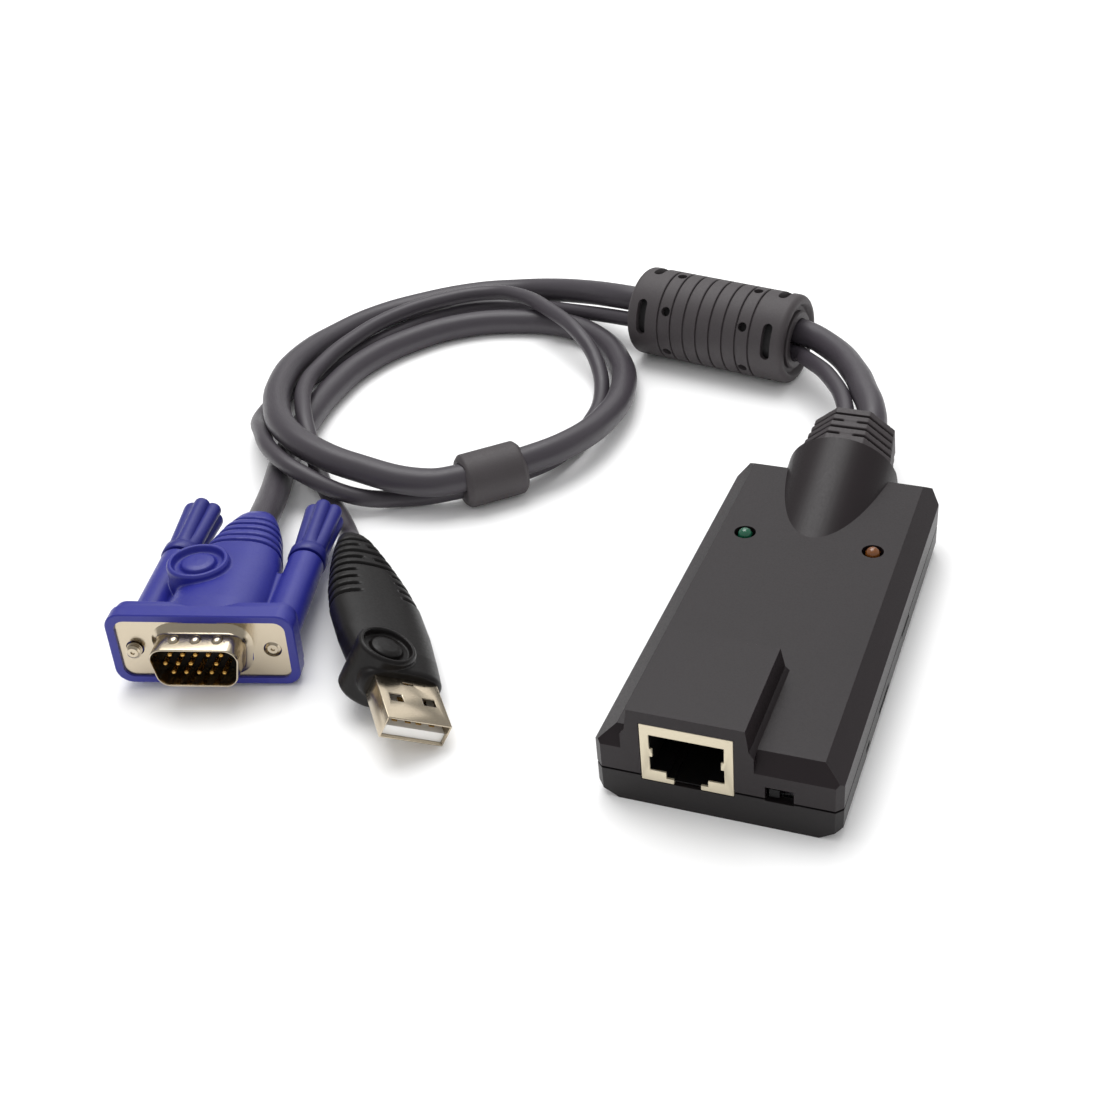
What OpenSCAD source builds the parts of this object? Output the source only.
// Console adapter: a small two-part casing with a network jack and a slide switch in front.
// Two cables leave its back, run through a ferrite bead and a sleeve, and end in a VGA plug
// and a USB plug. Millimetres. The casing stands on z = 0 with its front to -Y, and the
// origin is the middle of its footprint.

/* [Casing] */
// Width of the casing
case_w = 42; // [41:0.5:46]
// Length of the casing, front wall to back wall
case_l = 90; // [84:1:100]
// Height at which the side walls end and the shoulders start
wall_top = 11.5; // [11:0.1:12.2]
// Height of the flat roof
roof_h = 14.6; // [14.2:0.1:15.6]
// Height of the seam between the two covers
seam_h = 6.4; // [6.2:0.1:6.8]
// Width of the sloping shoulder along each side of the roof
shoulder_w = 3.5; // [2.5:0.1:4.5]
// Depth of the sloping brow at the front of the roof
brow_d = 2.4; // [1.6:0.1:3.2]
// Depth of the slope at the back of the roof
tail_d = 4.5; // [3:0.1:6]
// Height of the chamfer along the bottom of each side
base_rise = 2.3; // [1.5:0.1:3]
// Width of the chamfer along the bottom of each side
base_inset = 3.8; // [2:0.1:5]
// Corner cut at the front, seen from above
front_cut = 1.2; // [0.6:0.1:2]
// Length of the rounded corner at the back, seen from above
back_cut = 5.5; // [4:0.1:6]
// Width of the rounded corner at the back, seen from above
back_cut_w = 8.3; // [7:0.1:9]
// Wall thickness of both covers
wall_t = 1.8; // [1.6:0.1:2]
// Width and depth of the shadow line at the seam
seam_line = 0.4; // [0.3:0.05:0.5]
// Height of the lip that the top cover seats over
lip_h = 1.2; // [0.8:0.1:1.4]
// Tilt of the round cable boss on the roof, in degrees
boss_tilt = 16.3; // [14:0.1:18]
// Radius of the cable boss
boss_r = 11.6; // [11.2:0.1:11.8]
// Height of the boss axis at the back wall
boss_h = 10.6; // [10.3:0.1:11]

/* [Network jack] */
// Middle of the jack, measured across the casing
jack_x = -4.9; // [-5.4:0.1:-4.4]
// Width of the jack's metal shield
jack_w = 15.8; // [15.6:0.1:16.1]
// Height of the jack's metal shield
jack_h = 12; // [11.8:0.1:12.2]
// Length of the jack, front to back
jack_l = 18; // [16:0.5:21]
// Thickness of the shield's sheet metal
sheet_t = 0.4; // [0.3:0.05:0.5]
// Width of the socket opening
socket_w = 12.7; // [12.2:0.1:13]
// Height of the socket opening above its ledges
socket_h = 7.6; // [7.2:0.1:7.8]
// Height of the socket's ledges above the bottom of the jack
socket_z = 2.3; // [2.1:0.1:2.5]
// Depth of the socket
socket_d = 12.5; // [11:0.5:13.5]
// Width of the stepped notch below the socket
notch_w = 7.2; // [6.8:0.1:7.6]
// Height of the stepped notch
notch_h = 1.3; // [1:0.1:1.5]
// Width of the slot for the plug's latch
latch_w = 4.6; // [4.2:0.1:5]
// Height of the roof of the housing over the jack
housing_h = 20; // [19.8:0.1:20.6]
// Width of the housing at its top
housing_w = 19.8; // [19.4:0.1:20.4]
// Width of the housing where it meets the casing roof
housing_foot_w = 22.6; // [21.8:0.1:23.2]
// Length of the housing at its top
housing_l = 21.6; // [21:0.1:24]
// Number of contact wires in the socket
contact_count = 8; // [8]

/* [Switch and lights] */
// Middle of the switch window, measured across the casing
window_x = 10.6; // [10.2:0.1:11.2]
// Width of the switch window
window_w = 4.8; // [4.6:0.1:5.4]
// Lower edge of the switch window
window_z = 6; // [5.9:0.1:6.1]
// Height of the switch window
window_h = 3; // [2.8:0.1:3.2]
// Travel of the slide switch between its two positions
switch_travel = 2; // [1.6:0.1:2.2]
// Distance of the two lights behind the middle of the casing
light_y = 15.8; // [14:0.1:17]
// Distance of the two lights from the casing's middle line
light_x = 12.5; // [11.5:0.1:13]
// Radius of the holes over the lights
light_hole_r = 2.1; // [2:0.1:2.5]
// Radius of each light's dome
light_r = 1.4; // [1.3:0.1:1.7]

/* [Strain relief] */
// Length of the strain relief behind the casing
relief_l = 12.6; // [12:0.1:13.5]
// Half width of the strain relief at its base
relief_half_w = 9.5; // [9.2:0.1:9.8]
// Half height of the strain relief
relief_half_h = 9.2; // [9:0.1:9.5]
// Height of the middle of the strain relief
relief_h = 11; // [10.8:0.1:11.2]
// Distance between the strain relief's grooves
relief_pitch = 2.05; // [1.9:0.05:2.1]
// Width of one groove
relief_groove = 0.75; // [0.6:0.05:0.9]
// Depth of the grooves
relief_groove_d = 1.2; // [1:0.1:1.5]

/* [Cables] */
// Diameter of the video cable
vga_cable_d = 6.2; // [5.8:0.1:6.2]
// Diameter of the USB cable
usb_cable_d = 3.8; // [3.4:0.1:3.8]

/* [Ferrite bead] */
// Outer diameter of the bead's cover
bead_d = 21.5; // [21:0.1:21.5]
// Length of the bead
bead_l = 42; // [40:0.5:42]
// Number of grooves round the bead
bead_grooves = 8; // [6:1:8]
// Distance between the bead's grooves
bead_pitch = 3.5; // [3.2:0.1:3.6]
// Wall thickness of the bead's cover
bead_wall = 1.6; // [1.4:0.1:1.8]
// Diameter of the bore through the bead
bead_bore = 10.6; // [10.6:0.1:11]
// Diameter of the cable sleeve
sleeve_d = 11.8; // [11.8:0.1:12]
// Length of the cable sleeve
sleeve_l = 14; // [13:0.5:14.5]

/* [VGA plug] */
// Width of the plug's steel plate
plate_w = 30.8; // [30.6:0.1:31]
// Height of the plug's steel plate
plate_h = 12.5; // [12.3:0.1:12.7]
// Distance between the two thumbscrews
screw_span = 25; // [24.9:0.05:25.1]
// Width of the D-shaped shell at its top
dee_w = 16.9; // [16.6:0.1:17]
// Height of the D-shaped shell
dee_h = 8.4; // [8.2:0.1:8.5]
// How far the shell stands out of the plate
dee_l = 6; // [5.8:0.1:6.2]
// Distance between neighbouring pins
pin_pitch = 2.29; // [2.25:0.01:2.3]
// Distance between rows of pins
pin_row = 1.98; // [1.95:0.01:2]
// Radius of one pin
pin_r = 0.45; // [0.38:0.01:0.5]
// Width of the hood's flange
flange_w = 34; // [33.6:0.1:34.4]
// Height of the hood's flange
flange_h = 15.4; // [15:0.1:15.4]
// Length of the hood, plate to cable
hood_l = 42; // [40:0.5:43]
// Half width of the hood at its front
hood_half_w = 9.3; // [9:0.1:9.3]
// Half thickness of the hood at its front
hood_half_h = 6.5; // [6.2:0.1:6.6]
// Radius of the tubes that carry the thumbscrews
tube_r = 3.5; // [3.3:0.1:3.6]
// Length of the thumbscrew tubes
tube_l = 28; // [26:0.5:29]
// Radius of the thumbscrew shanks
shank_r = 1.2; // [1.15:0.01:1.22]
// Radius of the round pad on the hood
vga_pad_r = 5.8; // [5.5:0.1:6]
// Length of a thumbscrew knob
knob_l = 18; // [16:0.5:19]
// Radius over the lobes of a knob
knob_r = 4.1; // [3.9:0.1:4.2]
// Number of lobes round a knob
knob_lobes = 6; // [5:1:8]

/* [USB plug] */
// Width of the plug's metal shell
usb_w = 12; // [11.9:0.1:12.1]
// Height of the plug's metal shell
usb_h = 4.5; // [4.4:0.1:4.6]
// Length of shell that shows
usb_l = 11.8; // [11.6:0.1:12.2]
// Distance from the shell's mouth to the cable
usb_grip_end = 60; // [58:0.5:60]
// Half width of the grip at its widest
grip_half_w = 8.9; // [8.6:0.1:8.9]
// Half thickness of the grip at its thickest
grip_half_h = 4.3; // [4.1:0.1:4.4]
// Radius of the round pad on the grip
usb_pad_r = 5.5; // [5.2:0.1:5.6]

/* [Hidden] */

// Roundness of turned shapes, and steps in one rounded corner of an outline
$fn = 48;
arc_steps = 6;
// Overrun of every cut, clearance of a seated piece, and clearance of a piece that moves
over = 1;
fit = 0.1;
slack = 0.3;

// Colours as the photograph shows them
charcoal = [0.23, 0.21, 0.22];
dark_plastic = [0.12, 0.11, 0.11];
cable_grey = [0.29, 0.27, 0.28];
relief_grey = [0.33, 0.30, 0.31];
hood_blue = [0.29, 0.28, 0.61];
nickel = [0.65, 0.60, 0.53];
gold = [0.80, 0.62, 0.28];
board_green = [0.10, 0.35, 0.22];

// Inside the casing
board_t = 1.6;
jack_z = 5.5;
board_z = jack_z - board_t;
board_gap = 0.6;
post_r = 2.2;
peg_r = 1.2;
peg_h = 0.8;
post_in = 5.5;
front = -case_l / 2;
back = case_l / 2;
boss_reach = case_l / 2;
boss_end = 1;
boss_lean = boss_r * sin(boss_tilt);

// Slots along the right wall, each as its start, length, height and width
pry_slots = [[-16.4, 8, 3, 0.9], [-27, 2.6, 3.4, 0.9], [3, 7, 5.2, 0.8]];
pry_d = 0.9;

// Jack
insert_fit = 0.05;
insert_back = 0.5;
wire_t = 0.35;
wire_pitch = 1.02;
wire_drop = 2.2;
wire_run = 7;
wire_start = 1.4;
housing_foot_h = 1;
housing_draft = 0.6;
housing_back_l = housing_l + 1.2;
shield_tab_l = 0.5;
shield_tab_h = 1.6;

// Switch
switch_w = 9;
switch_d = 4;
switch_h = 3.6;
nub_w = 1.7;
nub_h = 1.6;
nub_reach = 1.4;
carrier_w = 2.4;
carrier_d = 1.6;
carrier_h = 2.1;
switch_lip = 0.6;
switch_y = front + wall_t + slack;
switch_z = jack_z + switch_h / 2;

// Lights
corner_share = 0.3;
light_base_h = 9.5;
light_flange_r = 1.7;
light_flange_h = 1;
light_top = roof_h + 0.8;
leg_t = 0.5;
leg_span = 2.54;

// Parts on the board, as places and sizes across, along and up
chip_leg_t = 0.3;
chip_leg_l = 1;
chip_leg_h = 0.8;
video_chip_at = [1, -8];
video_chip_w = 14;
video_chip_h = 1.4;
video_chip_legs = 14;
controller_w = 10;
controller_h = 1.4;
controller_legs = 10;
crystal_at = [12, 5];
crystal_l = 10.8;
crystal_w = 4.6;
crystal_h = 3.6;
crystal_base_h = 0.5;
crystal_rim = 0.4;
capacitor_r = 2.5;
capacitor_h = 5.4;
capacitor_base_h = 0.8;
capacitor_places = [[-13, -13], [-13, -2], [13, -29]];
header_in = 20;
header_y = back - header_in;
controller_in = 11;
controller_at = [-4, header_y - controller_in];
header_d = 5;
header_h = 4.6;
header_step_d = 1.2;
header_step_h = 2.4;
vga_header_x = 6;
vga_header_w = 15;
usb_header_x = -8;
usb_header_w = 9;
vga_lead_r = 2.2;
usb_lead_r = 1.6;

// Strain relief
neck_half_w = 7;
neck_low = 3.6;
neck_l = wall_t + boss_lean;
collar_grow = 0.6;
collar_d = 2;
relief_first = 4.6;
relief_steps = 4;
relief_bridge_w = 2.8;
relief_taper = 0.25;
relief_cut_share = 0.42;
vga_exit_x = 3;
usb_exit_x = -2.6;

// Bead and sleeve. The cables lie at opposite sides of each bore.
bead_at = [-45, 107];
bead_turn = -9.5;
bead_edge = 1.6;
bead_groove_w = 0.5;
bead_groove_d = 0.5;
bead_slot_w = 2.4;
bead_slot_l = 8.6;
bead_slot_in = 4.2;
bead_hole_r = 1.15;
bead_hole_in = 10.7;
bead_neck_r = 8.1;
bead_dish_d = 1.2;
bead_first_slot = 72;
bead_first_hole = 59;
bead_collar_r = 7;
core_end_gap = 2;
core_fit = 0.05;
sleeve_at = [-75.4, 35.2];
sleeve_turn = 44;
sleeve_lean = 30;
sleeve_edge = 1;
sleeve_fit = 0.05;
vga_bore_off = 2;
usb_bore_off = 3.2;

// Where the plugs lie, and how each is turned, pitched and rolled
vga_at = [-99.8, -37.8, 8.75];
vga_turn = 17.5;
vga_pitch = -1.5;
vga_roll = 2.5;
usb_at = [-54, -45, 5.7];
usb_turn = 38.5;
usb_pitch = 1.6;
usb_roll = 30.5;

// VGA plug
plate_t = 0.8;
plate_r = 2;
flange_lip = 0.5;
flange_d = 2.9;
flange_r = 3;
ledge_in = 0.6;
ledge_d = 1.6;
dee_slant = 10;
dee_r = 2.6;
dee_t = 0.4;
dee_foot = 0.7;
dee_foot_l = 0.6;
dimple_r = 0.7;
dimple_h = 0.35;
dimple_step = 3.9;
dimple_y = 2.5;
insulator_face = 0.6;
insulator_back = 5;
pin_recess = 1.2;
pin_fit = 0.02;
pins_per_row = 5;
pin_missing = 3;
vga_pad_x = -4.8;
vga_pad_y = 17.8;
vga_pad_top = 7.6;
pad_rim = 1;
pad_dish = 1.2;
pad_button_r = 3.3;
pad_button_h = 0.7;
web_l = 22;
web_t = 4;
hood_grooves = 5;
hood_groove_first = 28;
hood_groove_pitch = 2.35;
groove_w = 0.9;
groove_d = 0.5;
groove_ramp = 0.25;
scallop_r = 12;
scallop_rise = 1.6;
tube_bore_r = 1.28;
thread_hole_r = 1.5;
thread_room = 2.6;
knob_gap = 0.3;
knob_collar_l = 2.6;
knob_collar_r = 3.8;
flute_d = 1.1;
knob_sides = 36;
knob_grip_shares = [[0, 0.82, 0.2], [0.15, 0.85, 0.5], [0.6, 0.92, 0.8], [0.95, 1, 1], [1, 0.95, 0.9]];
knob_neck_r = 3.3;
knob_neck_l = 0.8;
shank_in = 10;
tip_r = 1.42;
thread_l = 1.5;
left_tip = 1.9;
right_tip = 0.3;
tip_edge = 0.3;

// USB plug
usb_sheet_t = 0.3;
usb_shell_back = 5;
window_cut_w = 2.4;
window_cut_l = 2;
window_cut_x = 3.1;
window_cut_y = 6.1;
tab_w = 2.1;
tab_l = 0.6;
tab_y = 10.5;
tongue_t = 1.9;
tongue_in = 0.8;
tongue_fit = 0.05;
strip_w = 1;
strip_t = 0.2;
strip_l = 7;
strip_in = 1.4;
strip_xs = [-3.5, -1, 1, 3.5];
usb_pad_x = -3.4;
usb_pad_y = 17.4;
usb_pad_half = 5.4;
grip_grooves = 5;
grip_groove_first = 46;
grip_groove_pitch = 2.5;
rib_count = 4;
rib_first = 36.5;
rib_pitch = 2.3;
rib_w = 1;
rib_d = 0.6;
rib_l = 3.2;

// Shape of the hood and of the grip along their length: place, half width and half
// thickness, as shares of length, of greatest half width and of greatest half thickness
hood_width_shares = [[0, 1], [0.19, 1], [0.52, 0.94], [0.68, 0.83], [0.86, 0.64], [0.96, 0.47],
                     [1, 0.38]];
hood_height_shares = [[0, 1], [0.19, 1], [0.52, 0.91], [0.68, 0.86], [0.86, 0.75], [0.96, 0.62],
                      [1, 0.52]];
hood_station_shares = [0.05, 0.12, 0.19, 0.3, 0.41, 0.52, 0.6];
hood_tail_shares = [0.93, 0.965, 0.985, 1];
grip_width_shares = [[0, 0.86], [0.12, 0.92], [0.3, 1], [0.48, 1], [0.62, 0.9], [0.78, 0.7],
                     [0.92, 0.48], [1, 0.32]];
grip_height_shares = [[0, 0.9], [0.12, 1], [0.48, 1], [0.7, 0.94], [0.86, 0.82], [0.95, 0.7],
                      [1, 0.52]];
grip_station_shares = [0, 0.02, 0.1, 0.2, 0.3, 0.4, 0.5, 0.6, 0.66];
grip_tail_shares = [0.955, 0.98, 1];
grip_front_share = 0.9;
section_power = 2.6;
section_sides = 28;

// Routes of the two cables, from the strain relief to the plugs
vga_route = [
    [3, 57.1, 14.1], [2.9, 60.2, 15], [1.4, 65.9, 16], [-1.9, 73.6, 16], [-5.6, 82.5, 15],
    [-15.8, 98.9, 12.6], [-23.6, 104.6, 12.4], [-66, 111.7, 12.4], [-74.5, 114.5, 11.5],
    [-87, 120.7, 8.5], [-99, 125.3, 5.5], [-108, 126.3, 3.8], [-118.5, 123.2, 3.2],
    [-131, 113, 3.2], [-139, 103, 3.2], [-143, 90, 4], [-142.8, 73, 6.6], [-138.8, 57, 8.9],
    [-131, 41.5, 10.4], [-123.5, 33, 11], [-114, 27.8, 10.4], [-102.5, 25.7, 9], [-86, 26.2, 7.5],
    [-80.1, 29.3, 7.6], [-69.3, 39.7, 7.6], [-62.8, 50, 7.1], [-60, 64, 5.8], [-61.4, 80, 4.6],
    [-68.2, 96, 3.2], [-76.5, 105.4, 3.2], [-88.5, 111, 3.2], [-102.5, 110, 3.2], [-115, 104, 3.2],
    [-124, 93.5, 3.2], [-129.8, 80, 3.2], [-131, 65, 3.2], [-129.3, 50, 3.2], [-125.5, 33.5, 3.2],
    [-119, 17.5, 4.4], [-112.4, 2.3, 7.6]];
usb_route = [
    [-2.6, 57.1, 14.1], [-4.4, 66.4, 15], [-11.4, 82, 13.4], [-20.8, 97.4, 9.3],
    [-24.1, 101.6, 8.2], [-66.5, 108.7, 8.2], [-90, 117.2, 4.4], [-105.5, 121.2, 2.1],
    [-115, 118.5, 1.9], [-122.5, 112.3, 1.9], [-131.5, 97.5, 1.9], [-138.5, 78.5, 1.9],
    [-142.2, 60, 2.1], [-140.3, 48, 3.6], [-131.5, 35, 7.8], [-123, 26, 9.3], [-113.5, 21.3, 8.4],
    [-101.5, 21.8, 4.2], [-92, 27, 2.1], [-81.9, 31.1, 3.1], [-71.1, 41.6, 3.1], [-66.2, 53, 2.2],
    [-65.2, 67, 1.9], [-67.3, 81, 2.2], [-72.5, 91.5, 5.2], [-78.5, 97.5, 8], [-91, 108, 8.6],
    [-103, 115.7, 7.9], [-112, 117.6, 6.8], [-123, 111.4, 6.3], [-132, 99.5, 6], [-136.2, 84, 6],
    [-136.3, 69.5, 6.5], [-132.5, 56, 8.4], [-126.5, 45, 8.9], [-120, 36, 6.4], [-113.5, 28, 2.6],
    [-101, 14.9, 1.9], [-97, 10.2, 2.5], [-91.4, 2, 7.4]];
vga_cable_sides = 10;
usb_cable_sides = 8;

// Outlines
function unit(v) = v / norm(v);

// Points of one rounded corner b of an outline that runs a, b, c anticlockwise
function corner_arc(a, b, c, r) =
    let (u = unit(a - b), v = unit(c - b), half = acos(u * v) / 2,
         centre = b + unit(u + v) * r / sin(half),
         start = atan2(a[0] - b[0], b[1] - a[1]))
    [for (k = [0:arc_steps]) let (t = start + (180 - 2 * half) * k / arc_steps)
        centre + r * [cos(t), sin(t)]];

// An outline with each corner rounded
function rounded(p, r) = [for (i = [0:len(p) - 1])
    each corner_arc(p[(i + len(p) - 1) % len(p)], p[i], p[(i + 1) % len(p)], r)];

// Corners of a rectangle about the origin
function rectangle(w, h) = [[-w / 2, -h / 2], [w / 2, -h / 2], [w / 2, h / 2], [-w / 2, h / 2]];

// Corners of the D outline of the plug, wide side up
function dee(w, h) = let (low = w / 2 - h * tan(dee_slant))
    [[-low, -h / 2], [low, -h / 2], [w / 2, h / 2], [-w / 2, h / 2]];

// Corners of an octagon with half sizes w and h
function octagon(w, h, cut) = [[-cut * w, -h], [cut * w, -h], [w, -cut * h], [w, cut * h],
    [cut * w, h], [-cut * w, h], [-w, cut * h], [-w, -cut * h]];

// Extrudes an outline drawn across X and Z along +Y, from y0
module along_y(y0, l) {
    translate([0, y0 + l, 0]) rotate([90, 0, 0]) linear_extrude(height = l) children();
}

// A cylinder along +Y, from y0
module rod_y(r, y0, l) {
    translate([0, y0, 0]) rotate([-90, 0, 0]) cylinder(r = r, h = l);
}

// A box given by its middle in X, its start in Y and Z, and its size
module block(x, y, z, size) {
    translate([x - size[0] / 2, y, z]) cube(size);
}

// Cables and lofted bodies
// Direction of a route at point i
function heading(p, i) = unit(p[min(i + 1, len(p) - 1)] - p[max(i - 1, 0)]);

// One ring of a cable, square to the route at point i
function ring(p, i, r, sides) =
    let (t = heading(p, i), side = unit(cross(t, [0, 0, 1])), up = cross(side, t))
    [for (k = [0:sides - 1]) let (a = 360 * k / sides) p[i] + r * (cos(a) * side - sin(a) * up)];

// Faces that join rings of equal size into a closed body
function skin_faces(rings, sides) = concat(
    [[for (k = [0:sides - 1]) k]],
    [for (i = [0:rings - 2]) for (k = [0:sides - 1]) let (n = (k + 1) % sides)
        each [[i * sides + k, (i + 1) * sides + k, (i + 1) * sides + n],
              [i * sides + k, (i + 1) * sides + n, i * sides + n]]],
    [[for (k = [sides - 1:-1:0]) (rings - 1) * sides + k]]);

// A cable swept along a route
module cable(route, d, sides) {
    polyhedron(points = [for (i = [0:len(route) - 1]) each ring(route, i, d / 2, sides)],
               faces = skin_faces(len(route), sides), convexity = 10);
}

// Signed power, which squares up an ellipse
function squared(v) = sign(v) * pow(abs(v), 2 / section_power);

// A body whose stations are [place along Y, half width, half thickness]
module loft(stations) {
    polyhedron(points = [for (s = stations) for (k = [0:section_sides - 1])
                   let (a = 360 * k / section_sides)
                   [s[1] * squared(cos(a)), s[0], -s[2] * squared(sin(a))]],
               faces = skin_faces(len(stations), section_sides), convexity = 10);
}

// Stations of a body of length l from y0, from its tables of shares
function station(y, y0, l, widths, heights, half_w, half_h, dip) =
    let (share = (y - y0) / l)
    [y, lookup(share, widths) * half_w - dip, lookup(share, heights) * half_h - dip];

// Four places across one groove, each with how far the surface dips there
function groove_places(y) = [[y - groove_w / 2 - groove_ramp, 0], [y - groove_w / 2, groove_d],
    [y + groove_w / 2, groove_d], [y + groove_w / 2 + groove_ramp, 0]];

// Casing
// The casing's outer shape, drawn in on every side by inset
module casing_block(inset) {
    w = case_w / 2 - inset;
    l = case_l / 2 - inset;
    low = inset;
    eaves = wall_top - inset / 2;
    high = roof_h - inset;
    intersection() {
        translate([0, 0, low]) linear_extrude(height = high - low) polygon([
            [-w + front_cut, -l], [w - front_cut, -l], [w, -l + front_cut], [w, l - back_cut],
            [w - corner_share * back_cut_w, l - corner_share * back_cut], [w - back_cut_w, l],
            [-w + back_cut_w, l], [-w + corner_share * back_cut_w, l - corner_share * back_cut],
            [-w, l - back_cut], [-w, -l + front_cut]]);
        along_y(-l, 2 * l) polygon([
            [-w + base_inset, low], [w - base_inset, low], [w, low + base_rise], [w, eaves],
            [w - shoulder_w, high], [-w + shoulder_w, high], [-w, eaves], [-w, low + base_rise]]);
        translate([-w, 0, 0]) rotate([90, 0, 90]) linear_extrude(height = 2 * w) polygon([
            [-l, low], [l, low], [l, eaves], [l - tail_d, high], [-l + brow_d, high], [-l, eaves]]);
    }
}

// Everything between two heights
module slab(z0, z1) {
    translate([-case_w, -case_l, z0]) cube([2 * case_w, 2 * case_l, z1 - z0]);
}

// Puts the boss's own axis, tilted up to the back, along +Y
module at_boss() { translate([0, back, boss_h]) rotate([boss_tilt, 0, 0]) children(); }

// The round boss over the cables, which ends square to its own axis
module cable_boss(r, end_y) {
    intersection() {
        at_boss() rod_y(r, -boss_reach, boss_reach + boss_end);
        translate([-boss_r, front, seam_h]) cube([2 * boss_r, end_y - front, 2 * boss_r]);
    }
}

// The housing over the jack: its front view and its side view, crossed
module jack_housing() {
    top = housing_w / 2;
    foot = housing_foot_w / 2;
    mid = top + housing_draft;
    low = seam_h + seam_line;
    intersection() {
        translate([jack_x, 0, 0]) along_y(front, housing_back_l) polygon([
            [-foot, low], [foot, low], [foot, roof_h - fit], [mid, roof_h + housing_foot_h],
            [top, housing_h], [-top, housing_h], [-mid, roof_h + housing_foot_h],
            [-foot, roof_h - fit]]);
        translate([jack_x - foot, front, 0]) rotate([90, 0, 90]) linear_extrude(height = 2 * foot)
            polygon([[0, low], [housing_back_l, low], [housing_back_l, roof_h - fit],
                     [housing_l, housing_h], [0, housing_h]]);
    }
}

// Space that the jack takes up
module jack_pocket() {
    block(jack_x, front - over, jack_z - fit,
          [jack_w + 2 * fit, jack_l + over + fit, jack_h + 2 * fit]);
}

// Hollow of the housing behind the jack
module housing_hollow() {
    block(jack_x, front + jack_l, seam_h, [jack_w, housing_l - jack_l - wall_t, jack_z + jack_h - seam_h]);
}

// Space in front of the slide switch
module switch_window() {
    block(window_x, front - over, window_z, [window_w, wall_t + 2 * over, window_h]);
}

// Outline of the strain relief's neck: straight sides under a round top
module neck_outline(grow, low) {
    r = neck_half_w + grow;
    translate([0, relief_h]) circle(r = r);
    translate([-r, low]) square([2 * r, relief_h - low]);
}

// Cut for the neck in the back walls
module neck_cut() {
    along_y(back - neck_l - over, neck_l + 2 * over) neck_outline(fit, neck_low - fit);
}

// Shadow line all round the seam
module seam_groove() {
    difference() {
        intersection() {
            casing_block(-over);
            slab(seam_h - seam_line / 2, seam_h + seam_line / 2);
        }
        casing_block(seam_line);
    }
}

module top_cover() {
    color(charcoal) difference() {
        union() {
            intersection() {
                casing_block(0);
                slab(seam_h, roof_h + over);
            }
            jack_housing();
            cable_boss(boss_r, back);
        }
        casing_block(wall_t);
        cable_boss(boss_r - wall_t, back - neck_l);
        intersection() {
            casing_block(wall_t / 2);
            slab(seam_h - over, seam_h + lip_h + fit);
        }
        jack_pocket();
        housing_hollow();
        switch_window();
        neck_cut();
        seam_groove();
        for (side = [-1, 1])
            translate([side * light_x, light_y, roof_h - wall_t - over])
                cylinder(r = light_hole_r, h = wall_t + 2 * over);
    }
}

module bottom_cover() {
    lip_in = wall_t / 2 + fit;
    post_x = case_w / 2 - wall_t - post_in;
    post_y = case_l / 2 - wall_t - post_in;
    color(charcoal) {
        difference() {
            union() {
                intersection() {
                    casing_block(0);
                    slab(-over, seam_h);
                }
                intersection() {
                    casing_block(lip_in);
                    slab(seam_h - over, seam_h + lip_h);
                }
            }
            casing_block(wall_t);
            jack_pocket();
            switch_window();
            neck_cut();
            seam_groove();
            for (s = pry_slots)
                translate([case_w / 2 - pry_d, s[0], s[2]]) cube([pry_d + over, s[1], s[3]]);
        }
        for (sx = [-1, 1])
            for (y = [-post_y + jack_l, post_y - back_cut])
                translate([sx * post_x, y, wall_t]) {
                    cylinder(r = post_r, h = board_z - wall_t);
                    cylinder(r = peg_r, h = board_z - wall_t + board_t + peg_h);
                }
    }
}

module circuit_board() {
    half_w = case_w / 2 - wall_t - board_gap - fit;
    y0 = front + wall_t + fit;
    y1 = back - neck_l - collar_d - board_gap;
    post_x = case_w / 2 - wall_t - post_in;
    post_y = case_l / 2 - wall_t - post_in;
    color(board_green) translate([0, 0, board_z]) difference() {
        linear_extrude(height = board_t) polygon([
            [-half_w + front_cut, y0], [half_w - front_cut, y0], [half_w, y0 + front_cut],
            [half_w, y1 - back_cut], [half_w - back_cut, y1], [-half_w + back_cut, y1],
            [-half_w, y1 - back_cut], [-half_w, y0 + front_cut]]);
        for (sx = [-1, 1])
            for (y = [-post_y + jack_l, post_y - back_cut])
                translate([sx * post_x, y, -over]) cylinder(r = peg_r + fit, h = board_t + 2 * over);
    }
}

// Strain relief
// One slice of the strain relief, with the given drop from its full size
module relief_slice(y, l, drop) {
    along_y(y, l) polygon(octagon(relief_half_w - drop, relief_half_h - drop, relief_cut_share));
}

// The ribbed part of the strain relief, along +Y from the boss
module relief_ribs() {
    relief_slice(0, relief_l, relief_groove_d + relief_taper * relief_steps);
    for (k = [0:relief_steps]) {
        y0 = k == 0 ? 0 : relief_first + (k - 1) * relief_pitch + relief_groove / 2;
        y1 = k == relief_steps ? relief_l : relief_first + k * relief_pitch - relief_groove / 2;
        relief_slice(y0, y1 - y0, k * relief_taper);
    }
    for (k = [0, 2])
        block(0, relief_first + k * relief_pitch - relief_groove, 0,
              [relief_bridge_w, 2 * relief_groove, relief_half_h - (k + 1) * relief_taper - fit]);
    intersection() {
        relief_slice(-boss_lean, boss_lean + fit, 0);
        block(0, -boss_lean, -2 * relief_half_h, [2 * relief_half_w, 2 * boss_lean, 2 * relief_half_h]);
    }
}

module strain_relief() {
    y0 = back - neck_l;
    color(relief_grey) {
        along_y(y0, neck_l) neck_outline(0, neck_low);
        along_y(y0 - collar_d, collar_d - fit) neck_outline(collar_grow, neck_low - collar_grow);
        along_y(y0 - fit, 2 * fit) neck_outline(0, neck_low);
        difference() {
            at_boss() relief_ribs();
            casing_block(0);
            cable_boss(boss_r, back);
        }
    }
}

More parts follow.
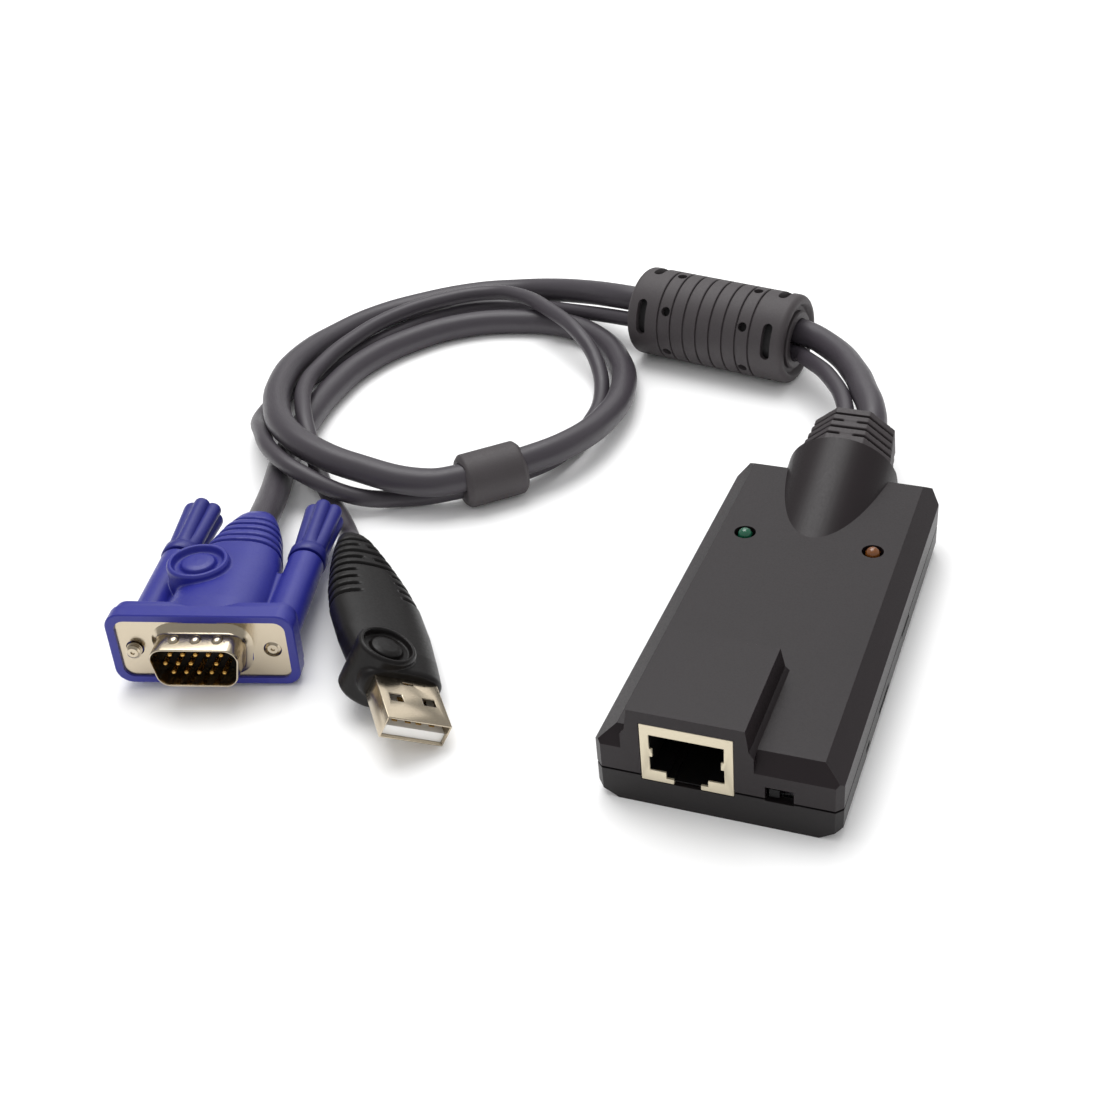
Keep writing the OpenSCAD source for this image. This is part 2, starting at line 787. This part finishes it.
// Network jack
// The socket's front view, with its stepped notch and the slot for the latch
module socket_outline(latch_low) {
    polygon([[-socket_w / 2, socket_z], [-notch_w / 2, socket_z], [-notch_w / 2, socket_z - notch_h],
             [-latch_w / 2, socket_z - notch_h], [-latch_w / 2, latch_low], [latch_w / 2, latch_low],
             [latch_w / 2, socket_z - notch_h], [notch_w / 2, socket_z - notch_h],
             [notch_w / 2, socket_z], [socket_w / 2, socket_z], [socket_w / 2, socket_z + socket_h],
             [-socket_w / 2, socket_z + socket_h]]);
}

module rj45_shield() {
    color(nickel) {
        difference() {
            block(jack_x, front, jack_z, [jack_w, jack_l, jack_h]);
            block(jack_x, front + sheet_t, jack_z + sheet_t,
                  [jack_w - 2 * sheet_t, jack_l - 2 * sheet_t, jack_h - 2 * sheet_t]);
            translate([jack_x, 0, jack_z]) along_y(front - over, sheet_t + 2 * over)
                socket_outline(-over);
        }
        for (side = [-1, 1])
            block(jack_x + side * (socket_w - shield_tab_l) / 2, front,
                  jack_z + socket_z + (socket_h - shield_tab_h) / 2,
                  [shield_tab_l, sheet_t, shield_tab_h]);
    }
}

module rj45_insert() {
    gap = sheet_t + insert_fit;
    color(dark_plastic) difference() {
        block(jack_x, front + gap, jack_z + gap,
              [jack_w - 2 * gap, jack_l - 2 * gap - insert_back, jack_h - 2 * gap]);
        translate([jack_x, 0, jack_z]) along_y(front - over, socket_d + over)
            socket_outline(socket_z - notch_h - sheet_t);
    }
}

module rj45_contacts() {
    tilt = atan2(wire_drop, wire_run);
    color(gold)
        for (k = [0:contact_count - 1])
            translate([jack_x + (k - (contact_count - 1) / 2) * wire_pitch - wire_t / 2,
                       front + wire_start, jack_z + socket_z + socket_h])
                rotate([-tilt, 0, 0]) cube([wire_t, norm([wire_run, wire_drop]), wire_t]);
}

// Slide switch
module switch_body() {
    y0 = switch_y;
    room_w = carrier_w + switch_travel + 2 * fit;
    color(nickel) difference() {
        block(window_x, y0, jack_z, [switch_w, switch_d, switch_h]);
        block(window_x, y0 + switch_lip, switch_z - carrier_h / 2 - fit,
              [room_w, carrier_d + 2 * fit, carrier_h + 2 * fit]);
        block(window_x, y0 - over, switch_z - nub_h / 2 - fit,
              [nub_w + switch_travel + 2 * fit, switch_lip + 2 * over, nub_h + 2 * fit]);
    }
}

module switch_slider() {
    x = window_x - switch_travel / 2;
    color(dark_plastic) {
        block(x, switch_y + switch_lip + fit, switch_z - carrier_h / 2,
              [carrier_w, carrier_d, carrier_h]);
        block(x, switch_y - nub_reach, switch_z - nub_h / 2,
              [nub_w, nub_reach + switch_lip + 2 * fit, nub_h]);
    }
}

// Lights
module light(x) {
    body_top = light_top - light_r;
    translate([x, light_y, 0]) {
        translate([0, 0, light_base_h]) cylinder(r = light_flange_r, h = light_flange_h);
        translate([0, 0, light_base_h]) cylinder(r = light_r, h = body_top - light_base_h);
        translate([0, 0, body_top]) sphere(r = light_r);
        for (side = [-1, 1])
            translate([(side * leg_span - leg_t) / 2, -leg_t / 2, jack_z])
                cube([leg_t, leg_t, light_base_h - jack_z + fit]);
    }
}

module green_light() { color("limegreen") light(-light_x); }
module amber_light() { color("orange") light(light_x); }

// Parts on the board
// A flat chip with legs on all four sides
module chip(at, w, h, legs) {
    pitch = w / (legs + 1);
    translate([at[0], at[1], jack_z]) {
        translate([-w / 2, -w / 2, 0]) cube([w, w, h]);
        for (turn = [0:90:270])
            rotate([0, 0, turn])
                for (k = [1:legs])
                    translate([-w / 2 + k * pitch - chip_leg_t / 2, w / 2 - fit, 0])
                        cube([chip_leg_t, chip_leg_l, chip_leg_h]);
    }
}

module video_chip() {
    color(dark_plastic) chip(video_chip_at, video_chip_w, video_chip_h, video_chip_legs);
}

module controller_chip() {
    color(dark_plastic) chip(controller_at, controller_w, controller_h, controller_legs);
}

module crystal() {
    color("silver") translate([crystal_at[0], crystal_at[1], jack_z]) rotate([0, 0, 90]) {
        linear_extrude(height = crystal_base_h)
            polygon(rounded(rectangle(crystal_l + crystal_rim, crystal_w + crystal_rim), crystal_w / 2));
        linear_extrude(height = crystal_h)
            polygon(rounded(rectangle(crystal_l, crystal_w), crystal_w / 2 - crystal_rim));
    }
}

module capacitors() {
    color("silver")
        for (at = capacitor_places)
            translate([at[0], at[1], jack_z]) {
                cylinder(r = capacitor_r, h = capacitor_h);
                translate([-capacitor_r, -capacitor_r, 0])
                    cube([2 * capacitor_r, 2 * capacitor_r, capacitor_base_h]);
            }
}

// A wire header: a block with a lower step in front for its wires
module header(x, w) {
    block(x, header_y, jack_z, [w, header_d, header_h]);
    block(x, header_y - header_step_d, jack_z, [w, header_step_d + fit, header_step_h]);
}

module vga_header() { color("ivory") header(vga_header_x, vga_header_w); }
module usb_header() { color("ivory") header(usb_header_x, usb_header_w); }

// A straight lead from one point to another
module lead(from, to, r) {
    run = to - from;
    translate(from) rotate([0, acos(run[2] / norm(run)), atan2(run[1], run[0])])
        cylinder(r = r, h = norm(run));
}

// A lead from the strain relief's collar down to a header
module header_lead(exit_x, x, r) {
    lead([exit_x, back - neck_l - collar_d, relief_h],
         [x, header_y + header_d, jack_z + header_h / 2], r);
}

module vga_inner_lead() { color(cable_grey) header_lead(vga_exit_x, vga_header_x, vga_lead_r); }
module usb_inner_lead() { color(cable_grey) header_lead(usb_exit_x, usb_header_x, usb_lead_r); }

// Cables and what is on them
module vga_cable() { color(cable_grey) cable(vga_route, vga_cable_d, vga_cable_sides); }
module usb_cable() { color(cable_grey) cable(usb_route, usb_cable_d, usb_cable_sides); }

// Stands a shape that is turned about Z along the bead's own axis
module at_bead() {
    translate([bead_at[0], bead_at[1], bead_d / 2]) rotate([0, 0, bead_turn])
        rotate([0, 90, 0]) children();
}

// Four points of the bead's outline at one groove, going up
function bead_groove(x, r) = [[r, x - bead_groove_w / 2], [r - bead_groove_d, x - bead_groove_w / 2],
    [r - bead_groove_d, x + bead_groove_w / 2], [r, x + bead_groove_w / 2]];

module ferrite_cover() {
    r = bead_d / 2;
    l = bead_l / 2;
    bore = bead_bore / 2;
    inner_r = r - bead_wall;
    groove_x0 = -(bead_grooves - 1) / 2 * bead_pitch;
    color(relief_grey) at_bead() difference() {
        rotate_extrude() polygon(concat(
            [[bore, -l], [bead_collar_r, -l], [bead_collar_r, -l + bead_dish_d],
             [bead_neck_r, -l + bead_dish_d], [bead_neck_r + bead_dish_d, -l],
             [r - bead_edge, -l], [r, -l + bead_edge]],
            [for (k = [0:bead_grooves - 1]) each bead_groove(groove_x0 + k * bead_pitch, r)],
            [[r, l - bead_edge], [r - bead_edge, l], [bead_neck_r + bead_dish_d, l],
             [bead_neck_r, l - bead_dish_d], [bead_collar_r, l - bead_dish_d], [bead_collar_r, l],
             [bore, l], [bore, l - core_end_gap],
             [inner_r, l - core_end_gap], [inner_r, -l + core_end_gap], [bore, -l + core_end_gap]]));
        for (side = [-1, 1]) {
            for (turn = [0:90:270])
                rotate([0, 0, bead_first_slot + turn])
                    translate([inner_r - over, -bead_slot_l / 2,
                               side * (l - bead_slot_in) - bead_slot_w / 2])
                        cube([bead_wall + 2 * over, bead_slot_l, bead_slot_w]);
            for (turn = [0:60:300])
                rotate([0, 0, bead_first_hole + turn])
                    translate([inner_r - over, 0, side * (l - bead_hole_in)]) rotate([0, 90, 0])
                        cylinder(r = bead_hole_r, h = bead_wall + 2 * over);
        }
    }
}

module ferrite_core() {
    r = bead_d / 2 - bead_wall - core_fit;
    l = bead_l - 2 * core_end_gap - 2 * core_fit;
    color(dark_plastic) at_bead() translate([0, 0, -l / 2]) difference() {
        cylinder(r = r, h = l);
        translate([0, 0, -over]) cylinder(r = bead_bore / 2, h = l + 2 * over);
    }
}

module cable_sleeve() {
    r = sleeve_d / 2;
    l = sleeve_l / 2;
    color(relief_grey) translate([sleeve_at[0], sleeve_at[1], r]) rotate([0, 0, sleeve_turn])
        rotate([sleeve_lean, 0, 0]) rotate([0, 90, 0]) difference() {
            rotate_extrude() polygon([[0, -l], [r - sleeve_edge, -l], [r, -l + sleeve_edge],
                                      [r, l - sleeve_edge], [r - sleeve_edge, l], [0, l]]);
            translate([-vga_bore_off, 0, -l - over])
                cylinder(r = vga_cable_d / 2 + sleeve_fit, h = sleeve_l + 2 * over);
            translate([usb_bore_off, 0, -l - over])
                cylinder(r = usb_cable_d / 2 + sleeve_fit, h = sleeve_l + 2 * over);
        }
}

// VGA plug, with its middle line along +Y and its plate at y = 0
module at_vga() {
    translate(vga_at) rotate([0, 0, vga_turn]) rotate([vga_pitch, 0, 0]) rotate([0, vga_roll, 0])
        children();
}

// A round pad with a raised rim and a button, its top at z
module pad(r, z) {
    difference() {
        cylinder(r = r, h = z);
        translate([0, 0, z - pad_dish]) cylinder(r = r - pad_rim, h = pad_dish + over);
    }
    cylinder(r = pad_button_r, h = z - pad_dish + pad_button_h);
}

function hood_station(y, dip) = station(y, 0, hood_l, hood_width_shares, hood_height_shares,
                                        hood_half_w, hood_half_h, dip);

module hood_body() {
    last = hood_groove_first + (hood_grooves - 1) * hood_groove_pitch;
    loft(concat(
        [for (s = hood_station_shares) hood_station(s * hood_l, 0)],
        [for (k = [0:hood_grooves - 1])
            for (g = groove_places(hood_groove_first + k * hood_groove_pitch))
                hood_station(g[0], g[1])],
        [for (s = hood_tail_shares) if (s * hood_l > last + groove_w) hood_station(s * hood_l, 0)]));
}

module vga_hood() {
    color(hood_blue) at_vga() difference() {
        union() {
            hood_body();
            along_y(-flange_lip, flange_d + flange_lip)
                polygon(rounded(rectangle(flange_w, flange_h), flange_r));
            along_y(flange_d, ledge_d)
                polygon(rounded(rectangle(flange_w - 2 * ledge_in, flange_h - 2 * ledge_in), flange_r));
            for (side = [-1, 1]) {
                translate([side * screw_span / 2, 0, 0]) rod_y(tube_r, 0, tube_l);
                block(side * hood_half_w, 0, -web_t / 2, [tube_r, web_l, web_t]);
            }
            translate([vga_pad_x, vga_pad_y, 0]) {
                pad(vga_pad_r, vga_pad_top);
                mirror([0, 0, 1]) pad(vga_pad_r, vga_pad_top);
            }
        }
        along_y(-flange_lip - over, flange_lip + plate_t + over)
            polygon(rounded(rectangle(plate_w, plate_h), plate_r));
        along_y(0, insulator_back)
            polygon(rounded(dee(dee_w - 2 * dee_t, dee_h - 2 * dee_t), dee_r - dee_t));
        for (side = [-1, 1])
            translate([side * screw_span / 2, 0, 0]) {
                rod_y(tube_bore_r, -over, tube_l + 2 * over);
                rod_y(thread_hole_r, -over, thread_room);
            }
        translate([0, flange_d, flange_h / 2 + scallop_r - scallop_rise])
            rod_y(scallop_r, 0, ledge_d);
    }
}

module vga_shell() {
    color(nickel) at_vga() difference() {
        union() {
            along_y(0, plate_t) polygon(rounded(rectangle(plate_w, plate_h), plate_r));
            along_y(-dee_foot_l, dee_foot_l)
                polygon(rounded(dee(dee_w + 2 * dee_foot, dee_h + 2 * dee_foot), dee_r + dee_foot));
            along_y(-dee_l, dee_l) polygon(rounded(dee(dee_w, dee_h), dee_r));
            for (k = [-1, 0, 1])
                translate([k * dimple_step, -dimple_y, dee_h / 2 - dimple_r + dimple_h])
                    sphere(r = dimple_r);
        }
        along_y(-dee_l - over, dee_l + plate_t + 2 * over)
            polygon(rounded(dee(dee_w - 2 * dee_t, dee_h - 2 * dee_t), dee_r - dee_t));
        for (side = [-1, 1])
            translate([side * screw_span / 2, 0, 0]) rod_y(thread_hole_r, -over, plate_t + 2 * over);
    }
}

// A rod of radius r at each pin's place, from y0
module pin_rods(r, y0, l) {
    for (row = [-1, 0, 1])
        for (k = [0:pins_per_row - 1])
            if (row != 0 || k != pin_missing) {
                shift = row == 0 ? -pin_pitch / 2 : 0;
                translate([(k - (pins_per_row - 1) / 2) * pin_pitch + shift, 0, row * pin_row])
                    rod_y(r, y0, l);
            }
}

module vga_insulator() {
    gap = dee_t + core_fit;
    color(dark_plastic) at_vga() difference() {
        along_y(-insulator_face, insulator_face + insulator_back - fit)
            polygon(rounded(dee(dee_w - 2 * gap, dee_h - 2 * gap), dee_r - gap));
        pin_rods(pin_r + pin_fit, -dee_l, dee_l + insulator_back);
    }
}

module vga_pins() {
    color(nickel) at_vga() pin_rods(pin_r, -dee_l + pin_recess, dee_l - pin_recess + insulator_back - fit);
}

// Stations of a knob's grip: share of its length, share of the knob's radius, share of flute
function knob_station(s, y0, l) = [y0 + s[0] * l, knob_r * s[1], flute_d * s[2]];

// The flared, fluted grip of a knob, from y0
module knob_grip(y0, l) {
    stations = [for (s = knob_grip_shares) knob_station(s, y0, l)];
    polyhedron(points = [for (s = stations) for (k = [0:knob_sides - 1])
                   let (a = 360 * k / knob_sides, r = s[1] - s[2] * (1 - abs(sin(knob_lobes * a / 2))))
                   [r * cos(a), s[0], -r * sin(a)]],
               faces = skin_faces(len(stations), knob_sides), convexity = 10);
}

// A thumbscrew's knob: a collar, a neck and a grip
module knob(x) {
    y0 = tube_l + knob_gap;
    grip_y = y0 + knob_collar_l + knob_neck_l;
    translate([x, 0, 0]) difference() {
        union() {
            rod_y(knob_collar_r, y0, knob_collar_l);
            rod_y(knob_neck_r, y0, knob_collar_l + knob_neck_l + fit);
            knob_grip(grip_y, y0 + knob_l - grip_y);
        }
        rod_y(shank_r, y0 - over, shank_in + over);
    }
}

// A captive thumbscrew: a thin shank, with a thicker thread at its tip
module screw(x, tip) {
    thread_y = tip_edge - tip;
    translate([x, 0, 0]) {
        rod_y(shank_r, thread_y, tube_l + knob_gap + shank_in - thread_y);
        rod_y(tip_r, thread_y, thread_l);
        rod_y(tip_r - tip_edge, -tip, tip_edge + fit);
    }
}

module left_knob() { color(hood_blue) at_vga() knob(-screw_span / 2); }
module right_knob() { color(hood_blue) at_vga() knob(screw_span / 2); }
module left_screw() { color(nickel) at_vga() screw(-screw_span / 2, left_tip); }
module right_screw() { color(nickel) at_vga() screw(screw_span / 2, right_tip); }

// USB plug, with its middle line along +Y and the mouth of its shell at y = 0
module at_usb() {
    translate(usb_at) rotate([0, 0, usb_turn]) rotate([usb_pitch, 0, 0]) rotate([0, usb_roll, 0])
        children();
}

grip_l = usb_grip_end - usb_l;

function grip_station(y, dip) = station(y, usb_l, grip_l, grip_width_shares, grip_height_shares,
                                        grip_half_w, grip_half_h, dip);

module grip_body() {
    last = grip_groove_first + (grip_grooves - 1) * grip_groove_pitch;
    loft(concat(
        [for (s = grip_station_shares) let (g = grip_station(usb_l + s * grip_l, 0))
            s == 0 ? [g[0], grip_front_share * g[1], grip_front_share * g[2]] : g],
        [for (k = [0:grip_grooves - 1])
            for (g = groove_places(grip_groove_first + k * grip_groove_pitch))
                grip_station(g[0], g[1])],
        [for (s = grip_tail_shares) if (usb_l + s * grip_l > last + groove_w)
            grip_station(usb_l + s * grip_l, 0)]));
}

module usb_grip() {
    color(dark_plastic) at_usb() difference() {
        union() {
            grip_body();
            translate([usb_pad_x, usb_pad_y, 0]) {
                pad(usb_pad_r, usb_pad_half);
                mirror([0, 0, 1]) pad(usb_pad_r, usb_pad_half);
            }
        }
        along_y(usb_l - over, usb_shell_back + over)
            square([usb_w, usb_h], center = true);
        for (side = [-1, 1])
            for (k = [0:rib_count - 1])
                block(side * grip_half_w, rib_first + k * rib_pitch, grip_half_h - rib_l,
                      [2 * rib_d + 2 * rib_w, rib_w, rib_l + over]);
    }
}

module usb_shell() {
    color(nickel) at_usb() difference() {
        block(0, 0, -usb_h / 2, [usb_w, usb_l + usb_shell_back, usb_h]);
        block(0, -over, -usb_h / 2 + usb_sheet_t,
              [usb_w - 2 * usb_sheet_t, usb_l + usb_shell_back + 2 * over, usb_h - 2 * usb_sheet_t]);
        for (side = [-1, 1])
            block(side * window_cut_x, window_cut_y - window_cut_l / 2, -usb_h,
                  [window_cut_w, window_cut_l, 2 * usb_h]);
        block(0, tab_y - tab_l / 2, 0, [tab_w, tab_l, usb_h]);
    }
}

module usb_tongue() {
    low = -usb_h / 2 + usb_sheet_t + tongue_fit;
    color("white") at_usb() {
        block(0, tongue_in, low,
              [usb_w - 2 * usb_sheet_t - 2 * tongue_fit, usb_l + usb_shell_back - tongue_in, tongue_t]);
        block(0, usb_l, low,
              [usb_w - 2 * usb_sheet_t - 2 * tongue_fit, usb_shell_back,
               usb_h - 2 * usb_sheet_t - 2 * tongue_fit]);
    }
}

module usb_contacts() {
    low = -usb_h / 2 + usb_sheet_t + tongue_fit + tongue_t;
    color(gold) at_usb()
        for (x = strip_xs)
            block(x, tongue_in + strip_in, low, [strip_w, strip_l, strip_t]);
}

top_cover();
bottom_cover();
strain_relief();
circuit_board();
rj45_shield();
rj45_insert();
rj45_contacts();
green_light();
amber_light();
switch_body();
switch_slider();
video_chip();
controller_chip();
crystal();
capacitors();
vga_header();
usb_header();
vga_inner_lead();
usb_inner_lead();
vga_cable();
usb_cable();
ferrite_cover();
ferrite_core();
cable_sleeve();
vga_hood();
vga_shell();
vga_insulator();
vga_pins();
left_knob();
left_screw();
right_knob();
right_screw();
usb_grip();
usb_shell();
usb_tongue();
usb_contacts();
